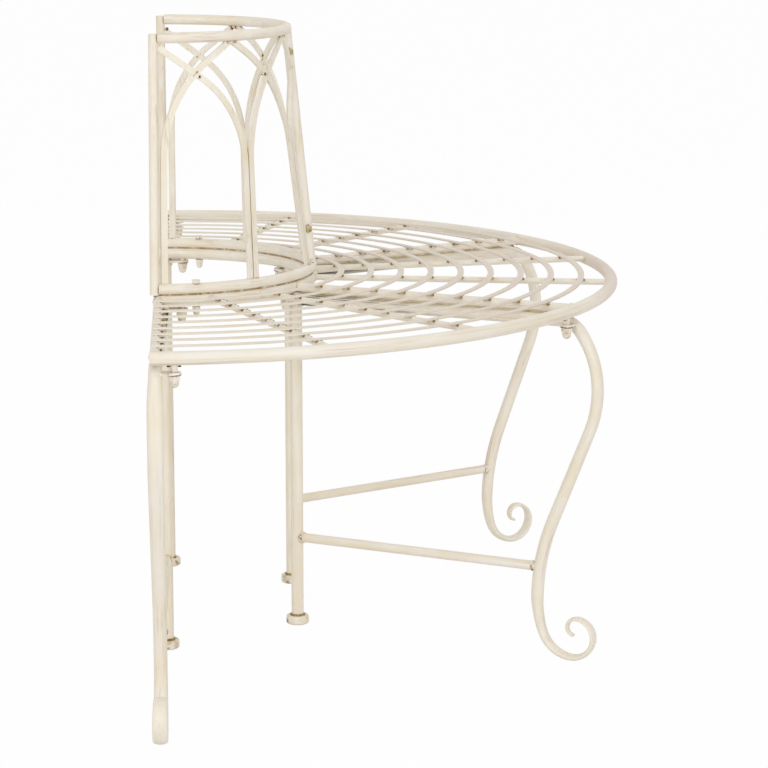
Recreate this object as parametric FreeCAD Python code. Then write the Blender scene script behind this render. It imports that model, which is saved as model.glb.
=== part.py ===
import FreeCAD, Part
import math
import os

# A half-round iron bench that stands round one side of a tree trunk.
# The origin is on the floor at the middle of the flat side, where the trunk's axis stands.
# +Z points up and the front of the seat looks along -Y.
# An angle round the trunk starts at -X (the left end) and ends at +X (the right end).

# Driving sizes in millimetres
seat_height = 457.0        # floor to the top of the slats
overall_height = 780.0     # floor to the top of the backrest
rim_radius = 600.0         # trunk axis to the centre of the outer rim
ring_radius = 206.0        # trunk axis to the centre of the inner ring
back_top_radius = 175.0    # trunk axis to the centre of the backrest's top ring
tube_diameter = 15.9       # rim, inner ring, legs and inner posts
back_tube_diameter = 13.5  # rings of the backrest
bar_diameter = 12.0        # end bars, main spokes, stretchers and posts of the backrest
rod_diameter = 8.0         # thin spokes
slat_width = 8.0
slat_thickness = 3.0
slat_end_inset = 3.0       # flat side to the end of a slat
slat_count = 9
weld_depth = 0.5           # how far a round tube sinks into the one that it is welded across

# Leg frames
frame_names = ("left_end", "left_front", "right_front", "right_end")
frame_angles = (0.0, 60.0, 120.0, 180.0)
rods_per_bay = 2
post_inset = 11.5          # flat side to the centre of an end frame's inner post
leg_proud = 1.8            # how far an end frame's leg stands out past the flat side
post_step = 3.5            # how much further out than the inner ring a post stands
shoulder_inset = 20.5      # rim centre to where the rail starts to bend down
stretcher_height = 116.5
pad_diameter = 30.0
pad_height = 10.0
pad_floor = 3.0            # thickness under the post
pad_collar = 1.8           # thickness of the lip round the post
pad_clearance = 0.1

leg_leans = (0.0, 0.0, 2.0, 0.0)  # degrees that each leg leans sideways below its rail

# Bends of a leg from the rail down to the floor: radii of the centre line, and degrees
shoulder_radii = (33.0, 122.0, 136.0)
shoulder_turns = (54.0, 32.0, 26.0)
ankle_radius = 274.0
ankle_turn = 20.5
foot_radii = (136.0, 43.5, 27.5, 23.0, 12.0, 10.0)
foot_turns = (21.0, 70.5, 90.0, 90.0, 90.0, 80.0)
# The foot is forged flat and drawn out: sizes at its start and after each bend
foot_widths = (15.9, 16.6, 17.5, 17.5, 14.5, 10.5, 8.5)
foot_thicknesses = (15.9, 11.2, 7.5, 6.0, 5.0, 4.4, 4.0)

# Backrest
post_drop = 2.0            # top of the backrest down to the ends of its posts
ring_bite = 1.0            # how far a ring's end is hollowed to fit round a post
# Flat side to the foot and to the top of the left and of the right outer post
outer_post_insets = ((1.5, 3.8), (9.5, 9.5))
# Angles of the places where arch bars meet: on the base ring, where the bars start
# to curve, and under the top ring. They were set by eye, so the two halves differ a little.
node_base_angles = (0.0, 37.5, 75.0, 105.0, 142.2, 180.0)
node_spring_angles = (0.0, 39.2, 70.2, 108.5, 139.8, 180.0)
node_top_angles = (0.0, 34.8, 72.0, 108.0, 141.2, 180.0)
arch_bar_width = 7.8
arch_bar_thickness = 4.0
arch_gap = 0.3             # between two arch bars that stand side by side
arch_spring_drop = 160.25  # centre of the top ring down to where an arch bar starts to curve
end_spring_drop = 147.25   # the same beside an outer post
arch_tip_drop = 5.0        # centre of the top ring down to where two arch bars meet
arch_lean = 54.0           # degrees from upright at the end of the curve
post_gap = 2.0             # between an outer post and the arch bar beside it
panel_gap = 0.4            # between the two panels
short_bar_drop = 64.25     # centre of the top ring down to where the short bars would meet

# Fasteners
stud_diameter = 8.0
small_bolt_diameter = 6.0
bolt_clearance = 0.4
lug_thickness = 3.0
lug_radius = 8.0
lug_reach = 19.5           # leg plane to the stud
end_lug_reach = 23.5       # an end frame's inner post to the stud beside it
lug_drop = 2.5             # rail centre down to the middle of a lug plate at the rim
lug_gap = 1.5              # inner ring down to the lug plates under it
stud_inset = 4.5           # centre of the rim to the studs under it
stud_nut_width = 13.0
stud_nut_height = 15.0
small_nut_width = 10.0
small_nut_height = 12.0
small_head_height = 4.0
plain_nut_height = 5.0
nut_depth = 0.7            # share of a cap nut that its stud or bolt fills
bolt_tail = 2.0            # how far a bolt stands out of a plain nut
seat_bolt_angles = (15.0, 81.5, 98.5, 163.5)
lower_bolt_rise = 48.3     # centre of the base ring up to the lower panel bolt
upper_bolt_drop = 30.25    # centre of the top ring down to the upper panel bolt

# Levels and radii that follow
spoke_top = seat_height - slat_thickness
seat_level = spoke_top - bar_diameter / 2
rail_level = seat_level - tube_diameter + weld_depth
back_base_level = seat_level + tube_diameter / 2 + back_tube_diameter / 2
back_top_level = overall_height - back_tube_diameter / 2
post_bottom = back_base_level - back_tube_diameter / 2
post_top = overall_height - post_drop
panel_bolt_heights = (back_base_level + lower_bolt_rise, back_top_level - upper_bolt_drop)
bay_count = len(node_top_angles) - 1
up = FreeCAD.Vector(0, 0, 1)


def point(radius, angle, height):
    turn = math.radians(angle)
    return FreeCAD.Vector(-radius * math.cos(turn), -radius * math.sin(turn), height)


def disc(centre, normal, radius):
    return Part.Face(Part.Wire(Part.Circle(centre, normal, radius).toShape()))


def rod(start, end, diameter):
    axis = end - start
    return Part.makeCylinder(diameter / 2, axis.Length, start, axis)


def rectangle(inner, outer, low, high):
    corners = [(inner, low), (outer, low), (outer, high), (inner, high), (inner, low)]
    return Part.Face(Part.makePolygon([FreeCAD.Vector(x, 0, z) for x, z in corners]))


def revolved(face, start_angle, end_angle):
    turned = face.rotated(FreeCAD.Vector(), up, start_angle + 180)
    return turned.revolve(FreeCAD.Vector(), up, end_angle - start_angle)


def ring(radius, height, diameter, start_angle=0.0, end_angle=180.0):
    section = disc(FreeCAD.Vector(radius, 0, height), FreeCAD.Vector(0, 1, 0), diameter / 2)
    return revolved(section, start_angle, end_angle)


def tube_across(radius, angle, height, diameter):
    # A short straight stretch along the ring at one place, for the hollow end of what is welded to it
    middle = point(radius, angle, height)
    along = point(1, angle + 90, 0) * (2 * diameter)
    return rod(middle - along, middle + along, diameter)


def largest(shape):
    return max(shape.Solids, key=lambda solid: solid.Volume)


def save(name, *solids):
    pieces = [piece for solid in solids for piece in solid.Solids]
    shape = pieces[0] if len(pieces) == 1 else Part.makeCompound(pieces)
    shape.exportStep("parts/" + name + ".step")


def angle_at(radius, inset):
    # The angle at which a circle round the trunk is this far from the flat side
    return math.degrees(math.asin(inset / radius))


# Seat: rim, inner ring, spokes and slats

def seat_rings():
    holes = [seat_bolt_hole(angle) for angle in seat_bolt_angles]
    save("seat_outer_rim", ring(rim_radius, seat_level, tube_diameter))
    save("seat_inner_ring", ring(ring_radius, seat_level, tube_diameter).cut(holes))


def between_rings(bar, angles):
    tubes = [tube_across(radius, angle, seat_level, tube_diameter)
             for radius, angle in zip((ring_radius, rim_radius), angles)]
    return largest(bar.cut(tubes))


def spoke(angle, diameter):
    level = spoke_top - diameter / 2
    bar = rod(point(ring_radius, angle, level), point(rim_radius, angle, level), diameter)
    return between_rings(bar, (angle, angle))


def end_bar(side):
    inset = bar_diameter / 2
    start = FreeCAD.Vector(side * ring_radius, -inset, seat_level)
    end = FreeCAD.Vector(side * rim_radius, -inset, seat_level)
    angles = [angle_at(radius, inset) for radius in (ring_radius, rim_radius)]
    if side > 0:
        angles = [180 - angle for angle in angles]
    return between_rings(rod(start, end, bar_diameter), angles)


def seat_spokes():
    save("seat_end_bar_left", end_bar(-1))
    save("seat_end_bar_right", end_bar(1))
    save("seat_spoke_left_front", spoke(frame_angles[1], bar_diameter))
    save("seat_spoke_right_front", spoke(frame_angles[2], bar_diameter))
    for bay, name in enumerate(("left", "front", "right")):
        step = (frame_angles[bay + 1] - frame_angles[bay]) / (rods_per_bay + 1)
        rods = [spoke(frame_angles[bay] + step * (i + 1), rod_diameter) for i in range(rods_per_bay)]
        save("seat_thin_spokes_" + name, *rods)


def slat(radius):
    inner = radius - slat_width / 2
    outer = radius + slat_width / 2
    start = angle_at(radius, slat_end_inset)
    return revolved(rectangle(inner, outer, spoke_top, seat_height), start, 180 - start)


def seat_slats():
    pitch = (rim_radius - ring_radius) / (slat_count + 1)
    for number in range(1, slat_count + 1):
        save("seat_slat_%d" % number, slat(ring_radius + pitch * number))


# Leg frames: each is drawn in its own plane, with X outwards from the trunk, then put in place

def walk(start, heading, bends, side):
    # Tangent arcs, each a radius and degrees, that turn down (side 1) or up (side -1),
    # and the end point and heading
    edges = []
    for radius, turn in bends:
        across = FreeCAD.Vector(math.sin(heading), 0, -math.cos(heading)) * (side * radius)
        centre = start + across
        points = []
        for share in (0.5, 1.0):
            angle = heading - side * math.radians(turn) * share
            points.append(centre - FreeCAD.Vector(math.sin(angle), 0, -math.cos(angle)) * (side * radius))
        edges.append(Part.Arc(start, points[0], points[1]).toShape())
        heading -= side * math.radians(turn)
        start = points[1]
    return edges, start, heading


def leg_route():
    rail_start = FreeCAD.Vector(ring_radius + post_step, 0, rail_level)
    rail_end = FreeCAD.Vector(rim_radius - shoulder_inset, 0, rail_level)
    upper, knee, slope = walk(rail_end, 0.0, zip(shoulder_radii, shoulder_turns), 1)
    # How far the ankle and the foot go down below the straight run
    origin = FreeCAD.Vector()
    ankle_bend = [(ankle_radius, ankle_turn)]
    ankle_start, ankle_heading = walk(origin, slope, ankle_bend, -1)[1:]
    foot_bottom = walk(ankle_start, ankle_heading, zip(foot_radii[:2], foot_turns), -1)[1]
    drop = knee.z + foot_bottom.z - foot_thicknesses[2] / 2
    shin_end = knee + FreeCAD.Vector(math.cos(slope), 0, math.sin(slope)) * (drop / -math.sin(slope))
    lower, ankle, heading = walk(shin_end, slope, ankle_bend, -1)
    rail = Part.LineSegment(rail_start, rail_end).toShape()
    shin = Part.LineSegment(knee, shin_end).toShape()
    return [rail] + upper + [shin] + lower, ankle, heading


def foot_section(place, heading, width, thickness):
    if abs(width - thickness) < 0.01:
        outline = Part.Circle(FreeCAD.Vector(), up, width / 2)
    else:
        outline = Part.Ellipse(FreeCAD.Vector(), width / 2, thickness / 2)
    forward = FreeCAD.Vector(math.cos(heading), 0, math.sin(heading))
    sideways = FreeCAD.Vector(0, 1, 0)
    turn = FreeCAD.Rotation(sideways, forward.cross(sideways), forward, "ZXY")
    wire = Part.Wire(outline.toShape())
    wire.Placement = FreeCAD.Placement(place, turn)
    return wire


def foot(place, heading):
    # The forged foot: a loft through ellipses that flatten and narrow along the scroll
    sections = [foot_section(place, heading, foot_widths[0], foot_thicknesses[0])]
    steps = 3
    for number, (radius, turn) in enumerate(zip(foot_radii, foot_turns)):
        for step in range(steps):
            place, heading = walk(place, heading, ((radius, turn / steps),), -1)[1:]
            share = (step + 1) / steps
            width, thickness = [sizes[number] + (sizes[number + 1] - sizes[number]) * share
                                for sizes in (foot_widths, foot_thicknesses)]
            sections.append(foot_section(place, heading, width, thickness))
    return Part.makeLoft(sections, True, False)


def leg():
    edges, ankle, heading = leg_route()
    route = Part.Wire(edges)
    start = route.Vertexes[0].Point
    section = Part.Wire(Part.Circle(start, FreeCAD.Vector(1, 0, 0), tube_diameter / 2).toShape())
    return route.makePipeShell([section], True, False).fuse(foot(ankle, heading))


def inner_post():
    foot_point = FreeCAD.Vector(ring_radius + post_step, 0, pad_floor)
    top = seat_level - bar_diameter / 2
    return rod(foot_point, FreeCAD.Vector(foot_point.x, 0, top), tube_diameter)


def foot_pad():
    rim = pad_diameter / 2
    bore = tube_diameter / 2 + pad_clearance
    collar = bore + pad_collar
    edge = pad_height * 0.35
    outline = [(0, 0), (rim, 0), (rim, edge)]
    dish_start = FreeCAD.Vector(rim, 0, edge)
    dish_end = FreeCAD.Vector(collar, 0, pad_height)
    dish_middle = FreeCAD.Vector(collar + (rim - collar) * 0.3, 0, edge + (pad_height - edge) * 0.3)
    corners = [FreeCAD.Vector(x, 0, z) for x, z in outline]
    inner = [(collar, pad_height), (bore, pad_height), (bore, pad_floor), (0, pad_floor), (0, 0)]
    inner_corners = [FreeCAD.Vector(x, 0, z) for x, z in inner]
    edges = [Part.LineSegment(a, b).toShape() for a, b in zip(corners, corners[1:])]
    edges.append(Part.Arc(dish_start, dish_middle, dish_end).toShape())
    edges += [Part.LineSegment(a, b).toShape() for a, b in zip(inner_corners, inner_corners[1:])]
    pad = Part.Face(Part.Wire(edges)).revolve(FreeCAD.Vector(), up, 360)
    pad.translate(FreeCAD.Vector(ring_radius + post_step, 0, 0))
    return pad


def stretcher():
    start = FreeCAD.Vector(ring_radius + post_step, 0, stretcher_height)
    return rod(start, FreeCAD.Vector(rim_radius, 0, stretcher_height), bar_diameter)


def leaned(tube, brace, number):
    # The leg turns about its rail, and the stretcher swings after it
    lean = leg_leans[number]
    post_radius = ring_radius + post_step
    tube.rotate(FreeCAD.Vector(0, 0, rail_level), FreeCAD.Vector(1, 0, 0), lean)
    shift = (rail_level - stretcher_height) * math.sin(math.radians(lean))
    swing = math.degrees(math.atan(shift / (rim_radius - post_radius)))
    brace.rotate(FreeCAD.Vector(post_radius, 0, 0), up, swing)
    return in_frame(tube, number), in_frame(brace, number)


def in_frame(shape, number):
    # The two end frames turn a little, so that the leg is nearly flush with the flat side
    placed = shape.copy()
    if number in (0, 3):
        side = 1 if number == 0 else -1
        post_radius = ring_radius + post_step
        leg_inset = tube_diameter / 2 - leg_proud
        toe = math.degrees(math.atan((post_inset - leg_inset) / (rim_radius - post_radius)))
        placed.rotate(FreeCAD.Vector(post_radius, 0, 0), up, -side * toe)
        placed.translate(FreeCAD.Vector(0, side * post_inset, 0))
    placed.rotate(FreeCAD.Vector(), up, frame_angles[number] + 180)
    return placed


def lug_side(number):
    return 1 if number in (0, 2) else -1


def lug_top(radius):
    if radius == ring_radius:
        return seat_level - tube_diameter / 2 - lug_gap
    return rail_level - lug_drop + lug_thickness / 2


def stud_place(number, radius):
    # Under the rim or the inner ring, at the lug's reach beside the frame
    side = lug_side(number)
    inset = side * lug_reach
    if number in (0, 3):
        inset = side * (lug_reach + tube_diameter / 2 if radius == rim_radius else end_lug_reach + post_inset)
    if radius == rim_radius:
        radius -= stud_inset
    return point(radius, frame_angles[number] + angle_at(radius, inset), 0)


def lug_plate(number, radius, steel):
    place = stud_place(number, radius)
    side = lug_side(number)
    top = lug_top(radius)
    plate = Part.makeCylinder(lug_radius, lug_thickness, FreeCAD.Vector(0, 0, top - lug_thickness))
    corner = FreeCAD.Vector(-lug_radius, min(0, -side * lug_reach), top - lug_thickness)
    plate = plate.fuse(Part.makeBox(2 * lug_radius, lug_reach, lug_thickness, corner))
    hole = (stud_diameter + bolt_clearance) / 2
    plate = plate.cut(Part.makeCylinder(hole, seat_height, FreeCAD.Vector()))
    plate.rotate(FreeCAD.Vector(), up, frame_angles[number] + 180)
    plate.translate(place)
    return largest(plate.cut(steel))


def hexagon(width, height):
    corner = FreeCAD.Vector(width / math.sqrt(3), 0, 0)
    corners = [FreeCAD.Rotation(up, 60 * side).multVec(corner) for side in range(6)]
    return Part.Face(Part.makePolygon(corners + corners[:1])).extrude(up * height)


def cap_nut(width, height, bore):
    # Points down from its seat at the origin: a hexagon, then a closed sleeve with a round end
    hexagon_height = height * 0.4
    shoulder = FreeCAD.Vector(width * 0.46, 0, -hexagon_height)
    cheek = FreeCAD.Vector(width * 0.38, 0, -height * 0.8)
    crown = FreeCAD.Vector(width * 0.24, 0, -height * 0.95)
    end = FreeCAD.Vector(0, 0, -height)
    axis = FreeCAD.Vector(0, 0, -hexagon_height)
    edges = [Part.LineSegment(a, b).toShape() for a, b in ((axis, end), (cheek, shoulder), (shoulder, axis))]
    edges.insert(1, Part.Arc(end, crown, cheek).toShape())
    sleeve = Part.Face(Part.Wire(edges)).revolve(FreeCAD.Vector(), up, 360)
    depth = height * nut_depth
    bore_hole = Part.makeCylinder(bore / 2, depth, FreeCAD.Vector(0, 0, -depth))
    return hexagon(width, -hexagon_height).fuse(sleeve).cut(bore_hole)


def leg_frames():
    seat_tubes = [ring(radius, seat_level, tube_diameter, -20, 200) for radius in (ring_radius, rim_radius)]
    plates = []
    studs = []
    nuts = []
    pads = []
    for number, name in enumerate(frame_names):
        post = in_frame(inner_post(), number)
        tube, brace = leaned(leg(), stretcher(), number)
        tube = largest(tube.cut([post] + seat_tubes))
        brace = largest(brace.cut([post, tube]))
        post = largest(post.cut(seat_tubes))
        save("leg_" + name, tube)
        save("inner_post_" + name, post)
        save("stretcher_" + name, brace)
        pads.append(in_frame(foot_pad(), number))
        for radius in (rim_radius, ring_radius):
            place = stud_place(number, radius)
            plate_bottom = lug_top(radius) - lug_thickness
            stud_end = plate_bottom - stud_nut_height * nut_depth
            plates.append(lug_plate(number, radius, [post, tube]))
            stud = rod(place + up * stud_end, place + up * seat_level, stud_diameter)
            angle = math.degrees(math.atan2(-place.y, -place.x))
            seat_tube = tube_across(radius, angle, seat_level, tube_diameter)
            studs.append(min(stud.cut(seat_tube).Solids, key=lambda solid: solid.BoundBox.ZMin))
            nut = cap_nut(stud_nut_width, stud_nut_height, stud_diameter)
            nut.translate(place + up * plate_bottom)
            nuts.append(nut)
    save("foot_pads", *pads)
    save("lug_plates", *plates)
    save("seat_studs", *studs)
    save("seat_cap_nuts", *nuts)


# Backrest: two quarter panels that lean towards the trunk

def back_radius(height):
    share = (height - back_base_level) / (back_top_level - back_base_level)
    return ring_radius + (back_top_radius - ring_radius) * share


def seat_bolt_hole(angle):
    size = small_bolt_diameter + bolt_clearance
    return rod(point(ring_radius, angle, 0), point(ring_radius, angle, overall_height), size)


def panel_bolt_place(height):
    return FreeCAD.Vector(0, -back_radius(height), height)


def panel_bolt_hole(height):
    reach = FreeCAD.Vector(2 * bar_diameter, 0, 0)
    middle = panel_bolt_place(height)
    return rod(middle - reach, middle + reach, small_bolt_diameter + bolt_clearance)


def outer_back_post(side):
    ends = [FreeCAD.Vector(side * back_radius(z), -outer_post_inset(side, z), z) for z in (post_bottom, post_top)]
    return upright(ends[0], ends[1])


def outer_post_inset(side, height):
    foot_inset, top_inset = outer_post_insets[0 if side < 0 else 1]
    return foot_inset + (top_inset - foot_inset) * (height - post_bottom) / (post_top - post_bottom)


def middle_back_post(side):
    across = side * (bar_diameter + panel_gap) / 2
    ends = [FreeCAD.Vector(across, -back_radius(z), z) for z in (post_bottom, post_top)]
    return upright(ends[0], ends[1])


def upright(start, end):
    # A leaning round bar whose ends are cut level
    axis = end - start
    spare = axis * 0.1
    bar = rod(start - spare, end + spare, bar_diameter)
    size = FreeCAD.Vector(2 * rim_radius, 2 * rim_radius, end.z - start.z)
    room = Part.makeBox(size.x, size.y, size.z, FreeCAD.Vector(-size.x / 2, -size.y / 2, start.z))
    return bar.common(room)


def arch_outline(bay, mirror):
    # The band of one arch bar, flat on the plane that faces the middle of its bay: X runs along
    # the bay and Y is the height. It starts at one node and leans over to the top of the next.
    foot_node, tip_node = (bay + 1, bay) if mirror else (bay, bay + 1)
    side = -1 if mirror else 1
    by_post = foot_node in (0, bay_count)
    spring_height = back_top_level - (end_spring_drop if by_post else arch_spring_drop)
    foot, spring, tip = [
        FreeCAD.Vector(side * back_radius(z) * math.sin(math.radians(angle - bay_middle(bay))), z, 0)
        for angle, z in ((node_base_angles[foot_node], back_base_level),
                         (node_spring_angles[foot_node], spring_height),
                         (node_top_angles[tip_node], back_top_level - arch_tip_drop))]
    for place in (foot, spring):
        place.x += (arch_gap + arch_bar_width) / 2
        if by_post:
            place.x += outer_post_inset(-side, place.y) + bar_diameter / 2 + post_gap - arch_gap / 2
    lean = math.atan2(spring.x - foot.x, spring.y - foot.y)
    end = math.radians(arch_lean)
    # The arc's radius and the straight run after it that reach the tip
    across, rise = math.cos(lean) - math.cos(end), math.sin(end) - math.sin(lean)
    reach = tip - spring
    radius = (reach.x * math.cos(end) - reach.y * math.sin(end)) / (across * math.cos(end) - rise * math.sin(end))
    run = (reach.x - radius * across) / math.sin(end) + arch_bar_width
    rows = []
    for edge in (-arch_bar_width / 2, arch_bar_width / 2):
        sideways = FreeCAD.Vector(math.cos(lean), -math.sin(lean), 0)
        row = [foot + sideways * edge, spring + sideways * edge]
        for share in (0.5, 1.0):
            angle = lean + (end - lean) * share
            outwards = FreeCAD.Vector(math.cos(angle), -math.sin(angle), 0)
            row.append(spring + sideways * radius - outwards * (radius - edge))
        row.append(row[-1] + FreeCAD.Vector(math.sin(end), math.cos(end), 0) * run)
        rows.append(row)
    left, right = rows
    edges = [
        Part.LineSegment(left[0], left[1]).toShape(),
        Part.Arc(left[1], left[2], left[3]).toShape(),
        Part.LineSegment(left[3], left[4]).toShape(),
        Part.LineSegment(left[4], right[4]).toShape(),
        Part.LineSegment(right[4], right[3]).toShape(),
        Part.Arc(right[3], right[2], right[1]).toShape(),
        Part.LineSegment(right[1], right[0]).toShape(),
        Part.LineSegment(right[0], left[0]).toShape(),
    ]
    face = Part.Face(Part.Wire(edges))
    if mirror:
        face = face.mirror(FreeCAD.Vector(), FreeCAD.Vector(1, 0, 0))
    return face


def short_outline(mirror):
    # The short bar from a middle post up to the top of the nearest node
    height = back_top_level - arch_tip_drop
    middle_bay = bay_count // 2
    turn = math.radians(node_top_angles[middle_bay + 1] - node_top_angles[middle_bay]) / 2
    start = FreeCAD.Vector(0, back_top_level - short_bar_drop, 0)
    end = FreeCAD.Vector(-back_radius(height) * math.sin(turn), height, 0)
    along = end - start
    end = end + along * (arch_bar_width / along.Length)
    half = FreeCAD.Vector(-along.y, along.x, 0).normalize() * (arch_bar_width / 2)
    corners = [start + half, end + half, end - half, start - half, start + half]
    face = Part.Face(Part.makePolygon(corners))
    if mirror:
        face = face.mirror(FreeCAD.Vector(), FreeCAD.Vector(1, 0, 0))
    return face


def bay_middle(bay):
    return (node_top_angles[bay] + node_top_angles[bay + 1]) / 2


def arch_band(outline, bay, mirror, panel_start, panel_end):
    # The band is cut out of a cone-shaped sheet, which ends at the top of the node that the bar leans to
    spare = 6.0
    start = node_top_angles[bay] - (0 if mirror else spare)
    end = node_top_angles[bay + 1] + (spare if mirror else 0)
    start, end = max(start, panel_start), min(end, panel_end)
    corners = []
    for height, depth in ((post_bottom, -0.5), (post_bottom, 0.5), (back_top_level, 0.5), (back_top_level, -0.5)):
        corners.append(FreeCAD.Vector(back_radius(height) + depth * arch_bar_thickness, 0, height))
    sheet = revolved(Part.Face(Part.makePolygon(corners + corners[:1])), start, end)
    band = outline.extrude(up * (1.5 * ring_radius))
    facing = FreeCAD.Rotation(FreeCAD.Vector(0, 1, 0), up, FreeCAD.Vector(1, 0, 0), "ZXY")
    band.Placement = FreeCAD.Placement(FreeCAD.Vector(), facing)
    band.rotate(FreeCAD.Vector(), up, bay_middle(bay) + 180)
    return sheet.common(band)


def bay_bars(bay, side, limits, steel):
    # One bar of a bay is whole; where the other crosses it, that one is cut and welded to its sides.
    # Gives the long bars and the short ones.
    halves = [arch_band(arch_outline(bay, mirror), bay, mirror, *limits) for mirror in (False, True)]
    if bay == bay_count // 2:
        whole = halves[0 if side < 0 else 1]
        short = arch_band(short_outline(side > 0), bay, side < 0, *limits)
        return [largest(whole.cut(steel))], [largest(short.cut(steel + [whole]))]
    whole = halves[0]
    parts = sorted(halves[1].cut([whole]).Solids, key=lambda solid: solid.BoundBox.ZMin)
    trimmed = [largest(bar.cut(steel)) for bar in (whole, parts[0], parts[-1])]
    return trimmed[:2], trimmed[2:]


def panel(name, side):
    rings = (("top", back_top_radius, back_top_level), ("base", ring_radius, back_base_level))
    outer_post = outer_back_post(side)
    middle_post = middle_back_post(side)
    joint = [panel_bolt_hole(height) for height in panel_bolt_heights]
    seat_holes = [seat_bolt_hole(angle) for angle in seat_bolt_angles]
    limits = (0.0, 90.0) if side < 0 else (90.0, 180.0)
    posts = [outer_post, middle_post]
    for label, radius, level in rings:
        # A ring ends just inside the near sides of its two posts
        ring_start = outer_post_inset(side, level) + bar_diameter / 2 - ring_bite
        ring_end = bar_diameter + panel_gap / 2 - ring_bite
        trim = [angle_at(radius, ring_start), angle_at(radius, ring_end)]
        if side > 0:
            trim.reverse()
        arc = ring(radius, level, back_tube_diameter, limits[0] + trim[0], limits[1] - trim[1])
        cuts = posts + (seat_holes if label == "base" else [])
        save("back_%s_ring_%s" % (label, name), largest(arc.cut(cuts)))
    save("back_outer_post_" + name, outer_post)
    save("back_middle_post_" + name, middle_post.cut(joint))
    middle_bay = bay_count // 2
    bays = range(middle_bay + 1) if side < 0 else range(middle_bay, bay_count)
    steel = posts + [ring(radius, level, back_tube_diameter) for label, radius, level in rings]
    long_bars = []
    short_bars = []
    for bay in bays:
        for number, bars in enumerate(bay_bars(bay, side, limits, steel + long_bars)):
            (long_bars, short_bars)[number].extend(bars)
    for number, bar in enumerate(long_bars):
        save("back_arch_bar_%s_%d" % (name, number + 1), bar)
    save("back_short_bar_" + name, *short_bars)


def hex_bolt(grip, reach):
    # Points down from the underside of its head at the origin
    head = hexagon(small_nut_width, small_head_height)
    shank = Part.makeCylinder(small_bolt_diameter / 2, grip + reach, FreeCAD.Vector(0, 0, -grip - reach))
    return head.fuse(shank)


def small_fasteners():
    reach = small_nut_height * 0.7
    top = back_base_level + back_tube_diameter / 2
    bottom = seat_level - tube_diameter / 2
    bolts = []
    nuts = []
    for angle in seat_bolt_angles:
        place = point(ring_radius, angle, 0)
        bolt = hex_bolt(top - bottom, reach)
        bolt.translate(place + up * top)
        bolts.append(bolt)
        nut = cap_nut(small_nut_width, small_nut_height, small_bolt_diameter)
        nut.translate(place + up * bottom)
        nuts.append(nut)
    save("back_to_seat_bolts", *bolts)
    save("back_to_seat_cap_nuts", *nuts)
    bolts = []
    nuts = []
    half = bar_diameter + panel_gap / 2
    across = FreeCAD.Vector(half, 0, 0)
    turn = FreeCAD.Rotation(FreeCAD.Vector(0, 1, 0), -90)
    for height in panel_bolt_heights:
        place = panel_bolt_place(height)
        bolt = hex_bolt(2 * half, plain_nut_height + bolt_tail)
        bolt.Placement = FreeCAD.Placement(place - across, turn)
        bolts.append(bolt)
        bore = Part.makeCylinder(small_bolt_diameter / 2, plain_nut_height, FreeCAD.Vector(), up * -1)
        nut = hexagon(small_nut_width, -plain_nut_height).cut(bore)
        nut.Placement = FreeCAD.Placement(place + across, turn)
        nuts.append(nut)
    save("panel_joint_bolts", *bolts)
    save("panel_joint_nuts", *nuts)


os.makedirs("parts", exist_ok=True)
seat_rings()
seat_spokes()
seat_slats()
leg_frames()
panel("left", -1)
panel("right", 1)
small_fasteners()
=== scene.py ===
import math
import random

import bmesh
import bpy
from mathutils import Matrix, Vector


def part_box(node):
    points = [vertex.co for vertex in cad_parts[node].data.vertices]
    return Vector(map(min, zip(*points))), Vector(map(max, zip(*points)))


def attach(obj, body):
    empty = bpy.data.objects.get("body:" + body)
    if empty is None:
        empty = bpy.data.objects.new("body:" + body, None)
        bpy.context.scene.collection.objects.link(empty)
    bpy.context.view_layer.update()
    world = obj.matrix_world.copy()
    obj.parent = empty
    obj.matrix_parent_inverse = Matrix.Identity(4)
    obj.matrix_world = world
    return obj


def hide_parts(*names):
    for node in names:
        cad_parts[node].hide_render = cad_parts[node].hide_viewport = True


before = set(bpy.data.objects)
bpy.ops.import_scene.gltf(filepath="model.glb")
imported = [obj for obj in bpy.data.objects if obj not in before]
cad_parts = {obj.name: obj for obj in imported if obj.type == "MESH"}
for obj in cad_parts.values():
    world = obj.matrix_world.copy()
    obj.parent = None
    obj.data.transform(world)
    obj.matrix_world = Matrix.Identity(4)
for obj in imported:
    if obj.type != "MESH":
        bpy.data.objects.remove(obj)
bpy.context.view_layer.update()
print("frame loaded:", len(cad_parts), "nodes")

bench = {  # in metres and degrees, as in the solids
    "rimRadius": 0.600,  # trunk axis to the middle of the outer rim
    "ringRadius": 0.206,  # and to the middle of the inner ring
    "seatHeight": 0.457,
    "slatWidth": 0.008,
    "slatThickness": 0.003,
    "slatCount": 9,
    "tube": 0.0159,  # rim, inner ring, legs and inner posts
    "bar": 0.012,  # end bars, main spokes and stretchers
    "rod": 0.008,  # thin spokes
    "weldDepth": 0.0005,  # how far a rail sinks into the rim over it
    "frameNames": ("left_end", "left_front", "right_front", "right_end"),
    "frameAngles": (0, 60, 120, 180),
    "rodAngles": (20, 40, 80, 100, 140, 160),
    "stretcherHeight": 0.1165,
    "backTopRadius": 0.175,  # the backrest leans in from the inner ring to this
    "backBaseLevel": 0.4627,
    "backTopLevel": 0.77325,
}
bench["spokeTop"] = bench["seatHeight"] - bench["slatThickness"]
bench["seatLevel"] = bench["spokeTop"] - bench["bar"] / 2
bench["railLevel"] = bench["seatLevel"] - bench["tube"] + bench["weldDepth"]

up = Vector((0, 0, 1))


def onRing(radius, angle, height):
    turn = math.radians(angle)  # 0 is the left end, 180 the right end
    return Vector((-radius * math.cos(turn), -radius * math.sin(turn), height))


def outAt(angle):
    return onRing(1, angle, 0)


def roundAt(angle):
    # The way along a ring, from the left end to the right end
    return onRing(1, angle + 90, 0)


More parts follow.
